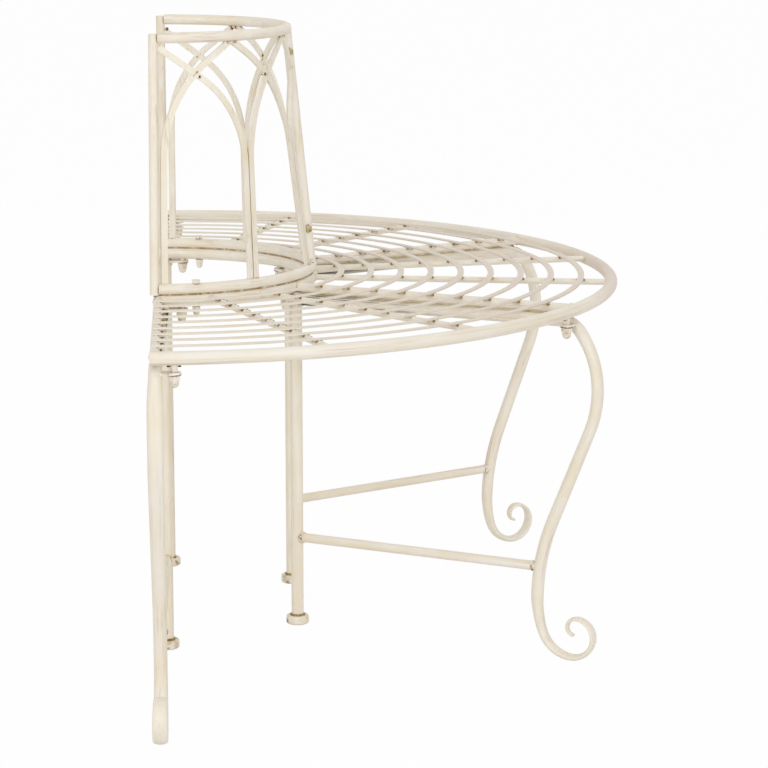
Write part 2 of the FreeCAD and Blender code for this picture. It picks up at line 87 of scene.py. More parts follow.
def backRadius(height):
    share = (height - bench["backBaseLevel"]) / (bench["backTopLevel"] - bench["backBaseLevel"])
    return bench["ringRadius"] + (bench["backTopRadius"] - bench["ringRadius"]) * share


def shareOf(value, start, end):
    # 0 at the start, 1 at the end, and never past them
    return max(0.0, min(1.0, (value - start) / (end - start)))


# Materials

def hexColour(text):
    parts = [int(text[i:i + 2], 16) / 255 for i in (1, 3, 5)]
    linear = [c / 12.92 if c <= 0.04045 else ((c + 0.055) / 1.055) ** 2.4 for c in parts]
    return (*linear, 1.0)


def addNode(tree, kind, settings=None, inputs=None):
    # inputs holds plain values or the sockets that feed them
    node = tree.nodes.new(kind)
    for name, value in (settings or {}).items():
        setattr(node, name, value)
    for name, value in (inputs or {}).items():
        socket = node.inputs[name]
        if isinstance(value, bpy.types.NodeSocket):
            tree.links.new(value, socket)
        else:
            socket.default_value = value
    return node


def newMaterial(name):
    material = bpy.data.materials.new(name)
    material.use_nodes = True
    material.node_tree.nodes.clear()
    return material, material.node_tree


def layOver(tree, base, colour, pattern, edges, strength=1.0):
    # A coat over the colour below it: none at the first edge of its pattern, full at the second
    cover = addNode(tree, "ShaderNodeMapRange", inputs={
        "Value": pattern, "From Min": edges[0], "From Max": edges[1], "To Max": strength})
    coat = addNode(tree, "ShaderNodeMix", {"data_type": "RGBA"}, {
        0: cover.outputs[0], 6: base, 7: hexColour(colour)})
    return coat.outputs[2]


def threeShades(tree, colours, pattern, edges):
    # Three colours that melt into each other along a pattern
    colour = layOver(tree, hexColour(colours[0]), colours[1], pattern, edges[:2])
    return layOver(tree, colour, colours[2], pattern, edges[1:])


def noiseAlong(tree, place, size, detail=3.0, roughness=0.55, offset=0.0):
    # Marks of a length and a width in mm; the offset keeps two patterns from falling together
    length, width = size
    scale = (1000 / length, 1000 / width, 1000 / width)
    mapped = addNode(tree, "ShaderNodeMapping", inputs={
        "Vector": place, "Scale": scale, "Location": (offset, offset * 0.7, offset * 1.3)})
    noise = addNode(tree, "ShaderNodeTexNoise", inputs={
        "Vector": mapped.outputs[0], "Scale": 1.0, "Detail": detail, "Roughness": roughness})
    return noise.outputs["Fac"]


enamel = {
    "cream": "#EFEAE0",  # antique cream, as sprayed
    "warm": "#EAE1CD",  # where the coat is thin
    "glaze": "#DFCDAC",  # antique glaze left all over a bar
    "rubbedGlazeAndShade": "#CDB5A4",  # pinkish brown glaze, wiped along the bar; also laid as painted shade over the front of the bench
    "grimeAndCornerShade": "#A0854C",  # olive brown: painted shade in the corners, and a real stain on the welds and in the seams
    "fleck": "#5F4622",  # dark brown specks where the coat has chipped at a weld
    # Marks in mm, along the bar and across it
    "cloud": (45, 27),
    "wipe": (160, 7),
    "streak": (70, 2.2),
    "patch": (99, 45),  # streaks come in patches
    "brush": (35, 0.9),  # real bristle marks are finer, but would not show
    # Where each pattern starts to show and where it is full
    "cloudEdges": (0.35, 0.70),
    "wipeEdges": (0.30, 0.62),
    "streakEdges": (0.50, 0.68),
    "patchEdges": (0.42, 0.66),
    "cornerShadeEdges": (0.62, 0.30),  # shares of open sky over a point, so a corner comes out brown as painted shade
    "stainEdges": (0.50, 0.64),
    "fleckEdges": (0.62, 0.68),
    # How strong the layers are
    "cornerShadeTone": 0.7,
    "stainTone": 0.75,
    "fleckTone": 0.9,
    "cornerShadeReach": 0.0035,  # how far the painted shade reaches from a corner, in metres
    "brushDepth": 0.0004,  # metres
    "roughness": 0.48,
    "sweepRadius": 0.4,  # metres: a middling ring, on which an angle becomes a length
}


def barPlace(tree, way):
    # Where a point is along its bar and across it, for brush marks that follow the bar
    if way == "leg":
        return addNode(tree, "ShaderNodeAttribute", {"attribute_name": "brushPlace"}).outputs["Vector"]
    place = addNode(tree, "ShaderNodeTexCoord").outputs["Object"]
    parts = addNode(tree, "ShaderNodeSeparateXYZ", inputs={0: place})
    x, y, z = parts.outputs
    if way == "upright":
        along, across = z, (x, y)
    else:
        flat = addNode(tree, "ShaderNodeCombineXYZ", inputs={"X": x, "Y": y})
        length = addNode(tree, "ShaderNodeVectorMath", {"operation": "LENGTH"}, {0: flat.outputs[0]})
        radius = length.outputs["Value"]
        front = addNode(tree, "ShaderNodeMath", {"operation": "MULTIPLY"}, {0: y, 1: -1.0})
        angle = addNode(tree, "ShaderNodeMath", {"operation": "ARCTAN2"}, {0: x, 1: front.outputs[0]})
        sweep = addNode(tree, "ShaderNodeMath", {"operation": "MULTIPLY"}, {
            0: angle.outputs[0], 1: enamel["sweepRadius"]}).outputs[0]
        along, across = (sweep, (radius, z)) if way == "round" else (radius, (sweep, z))
    joined = addNode(tree, "ShaderNodeCombineXYZ", inputs={"X": along, "Y": across[0], "Z": across[1]})
    return joined.outputs[0]


def creamEnamel(name, way, glazeAmount=0.192, rubbedAmount=0.75, fleckAmount=0.0, fleckSize=6.0,
                frontShadeAmount=0.0, frontShadeEdges=(0.0, -0.60)):
    # Brushed enamel over sprayed cream: silky, with faint brush marks and painted shade laid brown into
    # the corners by ambient occlusion.
    # On welds and fasteners the brown lies in patches too, with dark flecks. The rubbed tone is also
    # laid as painted shade, where the light falls weaker: it starts and is full at two places in front
    # of the trunk.
    material, tree = newMaterial(name)
    place = barPlace(tree, way)
    cloud = noiseAlong(tree, place, enamel["cloud"])
    colour = layOver(tree, hexColour(enamel["cream"]), enamel["warm"], cloud, enamel["cloudEdges"])
    wipe = noiseAlong(tree, place, enamel["wipe"], 2.0, 0.5, 17.0)
    colour = layOver(tree, colour, enamel["glaze"], wipe, enamel["wipeEdges"], glazeAmount)
    patch = noiseAlong(tree, place, enamel["patch"], 2.0, 0.5, 7.0)
    patchy = addNode(tree, "ShaderNodeMapRange", inputs={
        "Value": patch, "From Min": enamel["patchEdges"][0], "From Max": enamel["patchEdges"][1],
        "To Max": rubbedAmount})
    streak = noiseAlong(tree, place, enamel["streak"], 4.0, 0.6, 3.0)
    colour = layOver(tree, colour, enamel["rubbedGlazeAndShade"], streak, enamel["streakEdges"], patchy.outputs[0])
    # Painted shade: brown wherever ambient occlusion finds a corner, a crease or a contact between parts
    occlusionShade = addNode(tree, "ShaderNodeAmbientOcclusion", {"samples": 8}, {"Distance": enamel["cornerShadeReach"]})
    colour = layOver(tree, colour, enamel["grimeAndCornerShade"], occlusionShade.outputs["AO"],
                     enamel["cornerShadeEdges"], enamel["cornerShadeTone"])
    if fleckAmount:
        stain = noiseAlong(tree, place, (fleckSize * 2.5, fleckSize * 1.8), 2.0, 0.5, 5.0)
        colour = layOver(tree, colour, enamel["grimeAndCornerShade"], stain,
                         enamel["stainEdges"], enamel["stainTone"] * fleckAmount)
        fleck = noiseAlong(tree, place, (fleckSize, fleckSize), 1.0, 0.5, 9.0)
        colour = layOver(tree, colour, enamel["fleck"], fleck,
                         enamel["fleckEdges"], enamel["fleckTone"] * fleckAmount)
    # Painted shade: the rubbed tone laid over the bench more and more towards −Y, in front of the trunk
    if frontShadeAmount:
        whole = addNode(tree, "ShaderNodeTexCoord").outputs["Object"]
        front = addNode(tree, "ShaderNodeSeparateXYZ", inputs={0: whole}).outputs["Y"]
        colour = layOver(tree, colour, enamel["rubbedGlazeAndShade"], front, frontShadeEdges, frontShadeAmount)
    brush = noiseAlong(tree, place, enamel["brush"], 2.0, 0.5, 11.0)
    bump = addNode(tree, "ShaderNodeBump", inputs={
        "Strength": 0.25, "Distance": enamel["brushDepth"], "Height": brush})
    shader = addNode(tree, "ShaderNodeBsdfPrincipled", inputs={
        "Base Color": colour, "Roughness": enamel["roughness"], "Normal": bump.outputs[0]})
    addNode(tree, "ShaderNodeOutputMaterial", inputs={"Surface": shader.outputs[0]})
    return material


zinc = {
    "colours": ("#8D7B4E", "#B8A67C", "#D8CDB4"),  # in the hollows, in between and where it is worn
    "edges": (0.35, 0.55, 0.70),
    "grain": 2.86,  # mm
    "metallic": 0.6,  # dull, with a film of passivation
    "roughness": 0.42,
}


def yellowZinc(name):
    # Passivated zinc gone dull: brownish gold, soft highlights
    material, tree = newMaterial(name)
    place = addNode(tree, "ShaderNodeTexCoord").outputs["Object"]
    grain = noiseAlong(tree, place, (zinc["grain"], zinc["grain"]), 3.0, 0.5)
    colour = threeShades(tree, zinc["colours"], grain, zinc["edges"])
    shader = addNode(tree, "ShaderNodeBsdfPrincipled", inputs={
        "Base Color": colour, "Metallic": zinc["metallic"], "Roughness": zinc["roughness"]})
    addNode(tree, "ShaderNodeOutputMaterial", inputs={"Surface": shader.outputs[0]})
    return material


pooled = {
    "edges": (0.34, 0.50, 0.66),
    "narrow": 0.65,  # how wide a stain is beside its length
    "fleck": (6, 3),  # mm
    "fleckFade": 0.06,
    "roughness": 0.55,
}


def pooledGlaze(name, colours, size, fleckEdge):
    # Paint that ran into a seam or pooled at a weld and kept its brown glaze, with dark flecks
    material, tree = newMaterial(name)
    place = addNode(tree, "ShaderNodeTexCoord").outputs["Object"]
    stain = noiseAlong(tree, place, (size, size * pooled["narrow"]), 3.0, 0.6)
    colour = threeShades(tree, colours, stain, pooled["edges"])
    fleck = noiseAlong(tree, place, pooled["fleck"], 2.0, 0.5, 4.0)
    colour = layOver(tree, colour, enamel["fleck"], fleck, (fleckEdge, fleckEdge + pooled["fleckFade"]))
    shader = addNode(tree, "ShaderNodeBsdfPrincipled", inputs={
        "Base Color": colour, "Roughness": pooled["roughness"]})
    addNode(tree, "ShaderNodeOutputMaterial", inputs={"Surface": shader.outputs[0]})
    return material


finishes = {
    "round": creamEnamel("cream_enamel_brushed_round", "round"),
    "upright": creamEnamel("cream_enamel_brushed_upright", "upright"),
    "outward": creamEnamel("cream_enamel_brushed_outward", "outward"),
    # Copies with more glaze for bars that sit in shade: partly glaze, partly painted shade
    "glazedShadedRound": creamEnamel("cream_enamel_glazed_shaded_round", "round", glazeAmount=0.416),
    "glazedShadedUpright": creamEnamel("cream_enamel_glazed_shaded_upright", "upright", glazeAmount=0.416),
    "glazedShadedOutward": creamEnamel("cream_enamel_glazed_shaded_outward", "outward", glazeAmount=0.416),
    "legs": creamEnamel("cream_enamel_on_legs", "leg", rubbedAmount=0.9375),
    "slats": creamEnamel("cream_enamel_on_slats", "round", frontShadeAmount=0.38, frontShadeEdges=(0.08, -0.45)),
    "rim": creamEnamel("cream_enamel_on_rim", "round", frontShadeAmount=0.45, frontShadeEdges=(-0.53, -0.60)),
    "flecked": creamEnamel("cream_enamel_chipped", "upright", fleckAmount=0.45),
    "bead": creamEnamel(
        "cream_enamel_on_welds", "upright", glazeAmount=0.64, fleckAmount=1.0, fleckSize=3.0),
    "pads": creamEnamel(
        "cream_enamel_on_pads", "upright", glazeAmount=0.48, fleckAmount=0.7, fleckSize=7.0),
    "seam": pooledGlaze(
        "brown_glaze_in_ring_seams", (enamel["warm"], "#B39B73", enamel["grimeAndCornerShade"]), 14, 0.60),
    "paleSeam": pooledGlaze(
        "cream_enamel_run_into_seams", ("#E9DFC8", "#DCCDA9", "#B8A577"), 16, 0.68),
    "glaze": pooledGlaze(
        "brown_glaze_pooled_at_welds", ("#85652F", "#A58A50", "#CDBB8F"), 12, 0.56),
    # Dark glaze at welds and joints; on the seat it also stands in as painted shadow under the slats
    "darkGlazeAndShadow": pooledGlaze(
        "dark_glaze_and_shadow_at_welds", ("#4A3518", "#6A4F26", "#8F723F"), 9, 0.60),
    "zinc": yellowZinc("yellow_zinc_dulled"),
}

finishOfNode = {  # the first that a node's name starts with; bars that sit in shade get more glaze, partly real glaze and partly painted shade
    "back_top_ring_right": "glazedShadedRound", "back_outer_post_right": "glazedShadedUpright",
    "inner_post": "glazedShadedUpright", "stretcher": "glazedShadedOutward",
    "seat_outer": "rim", "seat_inner": "round", "seat_slat": "slats",
    "back_top": "round", "back_base": "round",
    "seat_end": "outward", "seat_spoke": "outward", "seat_thin": "outward",
    "leg_": "legs", "foot_pads": "upright", "lug_": "flecked",
    "back_outer": "upright", "back_middle": "upright", "back_short": "upright", "back_arch": "upright",
    "seat_studs": "flecked", "seat_cap": "flecked", "back_to": "flecked", "panel_": "zinc",
}

for nodeName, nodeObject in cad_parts.items():
    key = next(start for start in finishOfNode if nodeName.startswith(start))
    finish = finishes[finishOfNode[key]]
    if nodeObject.data.materials:
        for place in range(len(nodeObject.data.materials)):
            nodeObject.data.materials[place] = finish
    else:
        nodeObject.data.materials.append(finish)
print("finishes on the frame")


# Pieces of the scene's own: welds, the glaze and paint left at them with some painted shadow, bent legs,
# thin slats, foot pads

dice = random.Random(41)


def clearSelection():
    if bpy.context.object and bpy.context.object.mode != "OBJECT":
        bpy.ops.object.mode_set(mode="OBJECT")
    bpy.ops.object.select_all(action="DESELECT")


def startEditing():
    bpy.ops.object.mode_set(mode="EDIT")
    bpy.ops.mesh.select_mode(type="VERT")


def selectPoints(test):
    mesh = bmesh.from_edit_mesh(bpy.context.object.data)
    for point in mesh.verts:
        point.select_set(test(point.co))
    mesh.select_flush_mode()
    bmesh.update_edit_mesh(bpy.context.object.data)


def selectFaces(test):
    bpy.ops.mesh.select_mode(type="FACE")
    mesh = bmesh.from_edit_mesh(bpy.context.object.data)
    for face in mesh.faces:
        face.select_set(test(face.normal))
    bmesh.update_edit_mesh(bpy.context.object.data)


def mergePoints():
    bpy.ops.mesh.select_all(action="SELECT")
    bpy.ops.mesh.remove_doubles(threshold=0.00001)


def takeMesh():
    # The mesh of the piece just modelled, as the pattern for its copies
    clearSelection()
    piece = bpy.context.object
    mesh = piece.data
    bpy.data.objects.remove(piece)
    return mesh


def placed(pattern, centre, along, outward, sizes):
    # One copy of a pattern: its X lies along, its Z points outward
    along = along.normalized()
    sideways = outward.cross(along).normalized()
    outward = along.cross(sideways)
    turn = Matrix((along * sizes[0], sideways * sizes[1], outward * sizes[2])).transposed().to_4x4()
    mesh = pattern.copy()
    mesh.transform(Matrix.Translation(centre) @ turn)
    copy = bpy.data.objects.new("copy", mesh)
    bpy.context.scene.collection.objects.link(copy)
    return copy


def finishPiece(piece, finish, smoothAngle):
    bpy.ops.object.shade_smooth_by_angle(angle=math.radians(smoothAngle))
    piece.data.materials.clear()
    piece.data.materials.append(finishes[finish])
    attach(piece, "root")


def joinPiece(name, copies, finish, smoothAngle=40):
    clearSelection()
    for copy in copies:
        copy.select_set(True)
    bpy.context.view_layer.objects.active = copies[0]
    bpy.ops.object.join()
    piece = bpy.context.object
    piece.name = piece.data.name = name
    finishPiece(piece, finish, smoothAngle)
    clearSelection()
    return piece


bead = {
    "segments": 6,
    "rings": 8,
    "swells": {3: 0.80, 5: 0.80, 2: 1.25, 6: 1.25},  # waist and shoulders, by the number of a ring
    "sizes": (-0.12, 0.18),  # how much shorter or longer than its size a bead may be
}


def modelBead():
    # A short caterpillar of weld metal, one unit long, wide and high
    clearSelection()
    bpy.ops.mesh.primitive_uv_sphere_add(
        segments=bead["segments"], ring_count=bead["rings"], radius=0.5, rotation=(0, math.pi / 2, 0))
    bpy.ops.object.transform_apply(location=False, rotation=True, scale=False)
    startEditing()
    for ring, swell in bead["swells"].items():
        reach = 0.5 * math.cos(math.pi * ring / bead["rings"])
        selectPoints(lambda co: abs(co.x - reach) < 0.01)
        bpy.ops.transform.resize(value=(1, swell, swell))
    return takeMesh()


collar = {"segments": 18, "sides": 6, "thickness": 0.17, "ripple": 0.05, "stretch": 2}


def modelCollar():
    # The rippled weld round the end of a bar, for a bar of radius one, with its axis along Z
    clearSelection()
    bpy.ops.mesh.primitive_torus_add(
        major_segments=collar["segments"], minor_segments=collar["sides"],
        major_radius=1.0, minor_radius=collar["thickness"])
    startEditing()
    step = math.tau / collar["segments"]
    selectPoints(lambda co: round((math.atan2(co.y, co.x) % math.tau) / step) % 2 == 0)
    bpy.ops.transform.shrink_fatten(value=collar["ripple"])
    return takeMesh()


beadMesh = modelBead()
collarMesh = modelCollar()


def beadAt(centre, along, outward, length, width, height):
    size = 1 + dice.uniform(*bead["sizes"])
    return placed(beadMesh, centre, along, outward, (length * size, width * size, height))


def collarAt(centre, axis, radius, swell=1.0):
    # Its X is set square to the axis, so the outward way is the axis itself
    side = up.cross(axis)
    if side.length < 0.1:
        side = Vector((1, 0, 0))
    size = radius * swell
    return placed(collarMesh, centre, side, axis, (size, size, size * collar["stretch"]))


spokeWeld = {
    "length": 0.0088, "width": 0.0032, "height": 0.0030,
    "drop": 0.0012,  # top of a spoke to the bead beside it
    "standOff": 0.3,  # share of its width that a bead stands off the spoke
    "wander": 0.0006,  # from the middle of the slat
    "haloLength": 0.0062, "haloWidth": 0.0022, "haloHeight": 0.0030,
    "coreLength": 0.0034, "coreWidth": 0.0030, "coreHeight": 0.0021,
    "coreWander": 0.001, "coreLift": 0.0003,
    "spotTurn": {-1: 50, 1: 74},  # degrees down from the top of the bar, on its two flanks
    "spotGap": 0.0002,  # from the slat's edge
    "spotSizes": (0.6, 1.35),
    "collarSink": 0.0006,  # the weld at a spoke's end, into the tube
}
allSpokes = [(angle, bench["bar"] / 2) for angle in bench["frameAngles"]]
allSpokes += [(angle, bench["rod"] / 2) for angle in bench["rodAngles"]]


def spokeLine(angle, radius, height):
    # A point on the middle of a spoke or, at 0 and 180 degrees, of an end bar
    if angle in (0, 180):
        inset = bench["bar"] / 2
        side = -1 if angle == 0 else 1
        return Vector((side * math.sqrt(radius ** 2 - inset ** 2), -inset, height))
    return onRing(radius, angle, height)


def seatWelds():
    # A bead on each side of a spoke under each slat, with glaze at the slat's edges and dark spots
    # there, partly glaze and partly painted shadow of the slat
    welds, halos, cores = [], [], []
    pitch = (bench["rimRadius"] - bench["ringRadius"]) / (bench["slatCount"] + 1)
    for angle, barRadius in allSpokes:
        out, along = outAt(angle), roundAt(angle)
        flank = math.sqrt(barRadius ** 2 - (barRadius - spokeWeld["drop"]) ** 2)
        flank += spokeWeld["width"] * spokeWeld["standOff"]
        for number in range(1, bench["slatCount"] + 1):
            middle = spokeLine(angle, bench["ringRadius"] + pitch * number, bench["spokeTop"])
            for side in (-1, 1):
                if (angle, side) in ((0, -1), (180, 1)):
                    continue  # nothing to weld past the flat side
                shift = dice.uniform(-spokeWeld["wander"], spokeWeld["wander"])
                place = middle + along * flank * side + out * shift - up * spokeWeld["drop"]
                welds.append(beadAt(place, out, up, spokeWeld["length"], spokeWeld["width"],
                                    spokeWeld["height"]))
                turn = math.radians(spokeWeld["spotTurn"][side])
                onFlank = along * side * math.sin(turn) - up * (1 - math.cos(turn))
                for edge in (-1, 1):
                    reach = edge * (bench["slatWidth"] / 2 + spokeWeld["spotGap"])
                    spot = middle + onFlank * barRadius + out * reach
                    share = dice.uniform(*spokeWeld["spotSizes"])
                    halos.append(beadAt(spot, along, up, spokeWeld["haloLength"] * share,
                                        spokeWeld["haloWidth"], spokeWeld["haloHeight"]))
                    # Dark cores beside the slat's edge: partly glaze, partly painted shadow under the
                    # slat
                    shift = dice.uniform(-spokeWeld["coreWander"], spokeWeld["coreWander"])
                    spot = spot + along * shift + up * spokeWeld["coreLift"]
                    cores.append(beadAt(spot, along, up, spokeWeld["coreLength"] * share,
                                        spokeWeld["coreWidth"], spokeWeld["coreHeight"] * share))
        for radius, way in ((bench["ringRadius"], 1), (bench["rimRadius"], -1)):
            end = radius + way * (bench["tube"] / 2 - spokeWeld["collarSink"])
            place = spokeLine(angle, end, bench["spokeTop"] - barRadius)
            welds.append(collarAt(place, out, barRadius))
    return (joinPiece("seat_weld_beads", welds, "flecked"),
            joinPiece("seat_glaze_halos", halos, "glaze"),
            joinPiece("seat_glaze_and_shadow_spots", cores, "darkGlazeAndShadow"))


print("seat welds:", [len(piece.data.polygons) for piece in seatWelds()], "faces")

frameBoxes = [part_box("inner_post_" + name) for name in bench["frameNames"]]
postPlaces = [Vector(((low[0] + high[0]) / 2, (low[1] + high[1]) / 2, 0)) for low, high in frameBoxes]

legWeld = {
    "gap": 0.0002,  # the face of a post to the middle of a weld on it
    "postSwell": 1.12,  # size of a stretcher's weld beside the bar, at the post and at the leg
    "legSwell": 0.98,
    "legInsets": (0.0042, 0.0042, 0.0070, 0.0042),  # end of a stretcher back to its weld at the leg
}


def stretcherEnd(name, out):
    # The middle of a stretcher's outer end, found from the corner of its box
    low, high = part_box("stretcher_" + name)
    endX = high[0] if out.x > 0 else low[0]
    if name.endswith("end"):
        return Vector((endX, (low[1] + high[1]) / 2, 0))
    barRadius = bench["bar"] / 2
    endX -= math.copysign(barRadius * abs(out.y), out.x)
    return Vector((endX, low[1] + barRadius * abs(out.x), 0))


def legWelds():
    # Rails and stretchers at the inner posts, and stretchers at the legs
    welds = []
    barRadius, tubeRadius = bench["bar"] / 2, bench["tube"] / 2
    lift = up * bench["stretcherHeight"]
    for name, angle, post, inset in zip(
            bench["frameNames"], bench["frameAngles"], postPlaces, legWeld["legInsets"]):
        out = outAt(angle)
        rail = post + out * (tubeRadius + legWeld["gap"]) + up * bench["railLevel"]
        welds.append(collarAt(rail, out, tubeRadius))
        end = stretcherEnd(name, out)
        along = (end - post).normalized()
        start = post + along * (tubeRadius - legWeld["gap"])
        welds.append(collarAt(start + lift, along, barRadius, legWeld["postSwell"]))
        welds.append(collarAt(end - along * inset + lift, along, barRadius, legWeld["legSwell"]))
    return joinPiece("leg_weld_beads", welds, "bead")


print("leg welds:", len(legWelds().data.polygons), "faces")

nutGlaze = {
    "sides": (1, -1, 1, -1),  # the side of each frame that its lugs and cap nuts are on
    "reach": 0.0195,  # middle of a front frame to its studs
    # Under the rim and under the inner ring: radius to the studs, flat side to an end frame's stud,
    # and height of the lug's underside
    "rows": ((bench["rimRadius"] - 0.0045, 0.02745, 0.4286), (bench["ringRadius"], 0.0350, 0.4356)),
    "radius": 0.0070,
    "lineShare": 0.75,  # how high the line is beside a weld of its radius
    "spotReach": 0.0062,
    "spotLift": 0.0095,
    "spot": (0.0042, 0.0034, 0.0024),
}


def nutGlazeSpots():
    # A thin dark line where each cap nut meets its lug, and spots where the lug's stud meets the ring
    pieces = []
    size = nutGlaze["radius"]
    for radius, endReach, height in nutGlaze["rows"]:
        for name, angle, side in zip(bench["frameNames"], bench["frameAngles"], nutGlaze["sides"]):
            reach = endReach if name.endswith("end") else nutGlaze["reach"]
            centre = onRing(radius, angle + side * math.degrees(math.asin(reach / radius)), height)
            pieces.append(placed(collarMesh, centre, Vector((1, 0, 0)), up,
                                 (size, size, size * nutGlaze["lineShare"])))
            for way in (-1, 1):
                spot = centre + roundAt(angle) * way * nutGlaze["spotReach"] + up * nutGlaze["spotLift"]
                pieces.append(beadAt(spot, roundAt(angle), up, *nutGlaze["spot"]))
    return joinPiece("nut_glaze_lines", pieces, "darkGlazeAndShadow")


print("nut glaze:", len(nutGlazeSpots().data.polygons), "faces")


def copyOfNode(nodeName, pieceName):
    # The node's own mesh with its seams merged, ready to be reshaped
    clearSelection()
    piece = bpy.data.objects.new(pieceName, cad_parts[nodeName].data.copy())
    piece.data.name = pieceName
    bpy.context.scene.collection.objects.link(piece)
    piece.select_set(True)
    bpy.context.view_layer.objects.active = piece
    startEditing()
    mergePoints()
    bpy.ops.object.mode_set(mode="OBJECT")
    return piece


def replaceNode(piece, nodeName, finish, smoothAngle):
    finishPiece(piece, finish, smoothAngle)
    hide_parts(nodeName)
    clearSelection()


legLine = {  # the middle of a leg's tube: the bends are a radius in metres and degrees, from the top
    "railEnd": 0.5795,  # where the rail starts to bend down
    "shoulderBends": ((0.033, 54), (0.122, 32), (0.136, 26)),
    "shinEnd": 0.1772,  # height
    "ankleBends": ((0.274, 20.5), (0.136, 21)),
    "bendSteps": 8,
    "heights": (0.07, 0.42),  # between these the marks run down the tube
    "railMarks": 0.585,  # above them and nearer the trunk than this they run along the rail
    "scrollCentre": (0.592, 0.045),
    "scrollRadius": 0.040,
    "scrollTip": (0.566, 0.1),  # further out and lower than this they run round the scroll
    "smoothAngle": 35,
}

# A tube goes flat where it is bent: wider across the bend, thinner along it
shoulder = {
    "widen": 0.00155, "thin": 0.0008,
    "top": 0.426, "full": 0.400, "half": 0.290, "end": 0.140,  # heights
    "halfShare": 0.75,
}


def legRoute():
    # Distances from the trunk's axis and heights, walked from the rail down to the scroll
    radius, height, heading = legLine["railEnd"], bench["railLevel"], 0.0
    route = [(radius, height)]
    for bends, way in ((legLine["shoulderBends"], -1), (legLine["ankleBends"], 1)):
        for bend, turn in bends:
            half = math.radians(turn / legLine["bendSteps"] / 2)
            chord = 2 * bend * math.sin(half)
            for step in range(legLine["bendSteps"]):
                heading += way * half
                radius += chord * math.cos(heading)
                height += chord * math.sin(heading)
                heading += way * half
                route.append((radius, height))
        if bends == legLine["shoulderBends"]:  # the straight shin comes next
            radius += (legLine["shinEnd"] - height) / math.tan(heading)
            height = legLine["shinEnd"]
            route.append((radius, height))
    return route


legPoints = legRoute()


def legRadius(height):
    low, high = legLine["heights"]
    height = max(low, min(high, height))
    for (upperRadius, upper), (lowerRadius, lower) in zip(legPoints, legPoints[1:]):
        if height > lower:
            return upperRadius + (lowerRadius - upperRadius) * shareOf(height, upper, lower)


def brushPlace(point, out, across):
    # Along the tube, across it in the leg's plane, and square to that plane
    radius, height, aside = point.dot(out), point.z, point.dot(across)
    middle, tip = legLine["scrollCentre"], legLine["scrollTip"]
    if height > legLine["heights"][1] and radius < legLine["railMarks"]:
        return radius, height - bench["railLevel"], aside
    if height < middle[1] or (radius > tip[0] and height < tip[1]):
        turn = math.atan2(middle[1] - height, middle[0] - radius) % math.tau
        far = math.hypot(middle[1] - height, middle[0] - radius)
        return middle[1] - legLine["scrollRadius"] * turn, legLine["scrollRadius"] - far, aside
    return height, radius - legRadius(height), aside


def flattening(height):
    if height > shoulder["full"]:
        return shareOf(height, shoulder["top"], shoulder["full"])
    if height > shoulder["half"]:
        return 1.0 - (1.0 - shoulder["halfShare"]) * shareOf(height, shoulder["full"], shoulder["half"])
    return shoulder["halfShare"] * shareOf(height, shoulder["end"], shoulder["half"])


def bentLegs():
    for name, angle in zip(bench["frameNames"], bench["frameAngles"]):
        leg = copyOfNode("leg_" + name, "leg_tube_" + name)
        out, across = outAt(angle), roundAt(angle)
        marks = leg.data.attributes.new("brushPlace", "FLOAT_VECTOR", "POINT")
        for point, mark in zip(leg.data.vertices, marks.data):
            mark.vector = brushPlace(point.co, out, across)
        normals = [point.normal.copy() for point in leg.data.vertices]
        for point, normal in zip(leg.data.vertices, normals):
            sideways = across * normal.dot(across)
            move = sideways * shoulder["widen"] - (normal - sideways) * shoulder["thin"]
            point.co += move * flattening(point.co.z)
        replaceNode(leg, "leg_" + name, "legs", legLine["smoothAngle"])


bentLegs()
print("legs flattened at their bends")

slatLook = {"thickness": 0.0018, "smoothAngle": 35}  # the slats look thinner than the solids' 3 mm


def thinSlats():
    for number in range(1, bench["slatCount"] + 1):
        slat = copyOfNode("seat_slat_%d" % number, "slat_strip_%d" % number)
        for point in slat.data.vertices:
            share = (point.co.z - bench["spokeTop"]) / bench["slatThickness"]
            point.co.z = bench["spokeTop"] + share * slatLook["thickness"]
        replaceNode(slat, "seat_slat_%d" % number, "slats", slatLook["smoothAngle"])


thinSlats()
print("slats thinned")

# Where the arch bars meet: degrees round the trunk and heights. A bead or a spot has
# a length, a width and a height, and its reach is from the middle of the bar.
archWelds = {
    "tips": (34.8, 72.0, 108.0, 141.2),
    "tipHeight": 0.7655,
    "tipBead": (0.01482, 0.0034, 0.0034),
    "tipReach": 0.0020,
    "crossings": ((18.0, 0.7287), (53.8, 0.7220), (86.2, 0.7238), (93.8, 0.7236),
                  (124.6, 0.7250), (160.0, 0.7245)),
    "postEnds": ((3.0, 0.7624), (175.1, 0.7591)),
    "crossingBead": (0.00897, 0.0030, 0.0026),
    "crossingReach": 0.00168,
    "crossingSlope": (0.8, 0.6),  # along the ring and up
    "feet": (4.0, 36.3, 38.8, 73.5, 76.0, 103.9, 106.4, 140.9, 143.3, 173.7),
    "footHeight": 0.4689,
    "footBead": (0.00819, 0.0028, 0.0026),
    "footReach": 0.0022,
    "darkSpots": ((19.6, 0.7245, 0.9), (52.2, 0.7225, 1.1), (88.0, 0.7200, 0.8), (124.3, 0.7295, 1.1),
                  (140.2, 0.7655, 1.3), (142.4, 0.7640, 1.5), (174.0, 0.7600, 1.2)),  # and their sizes
    "spot": (0.0036, 0.0030, 0.0026),
    "spotReach": 0.0022,
    "spotSlope": 0.6,
}


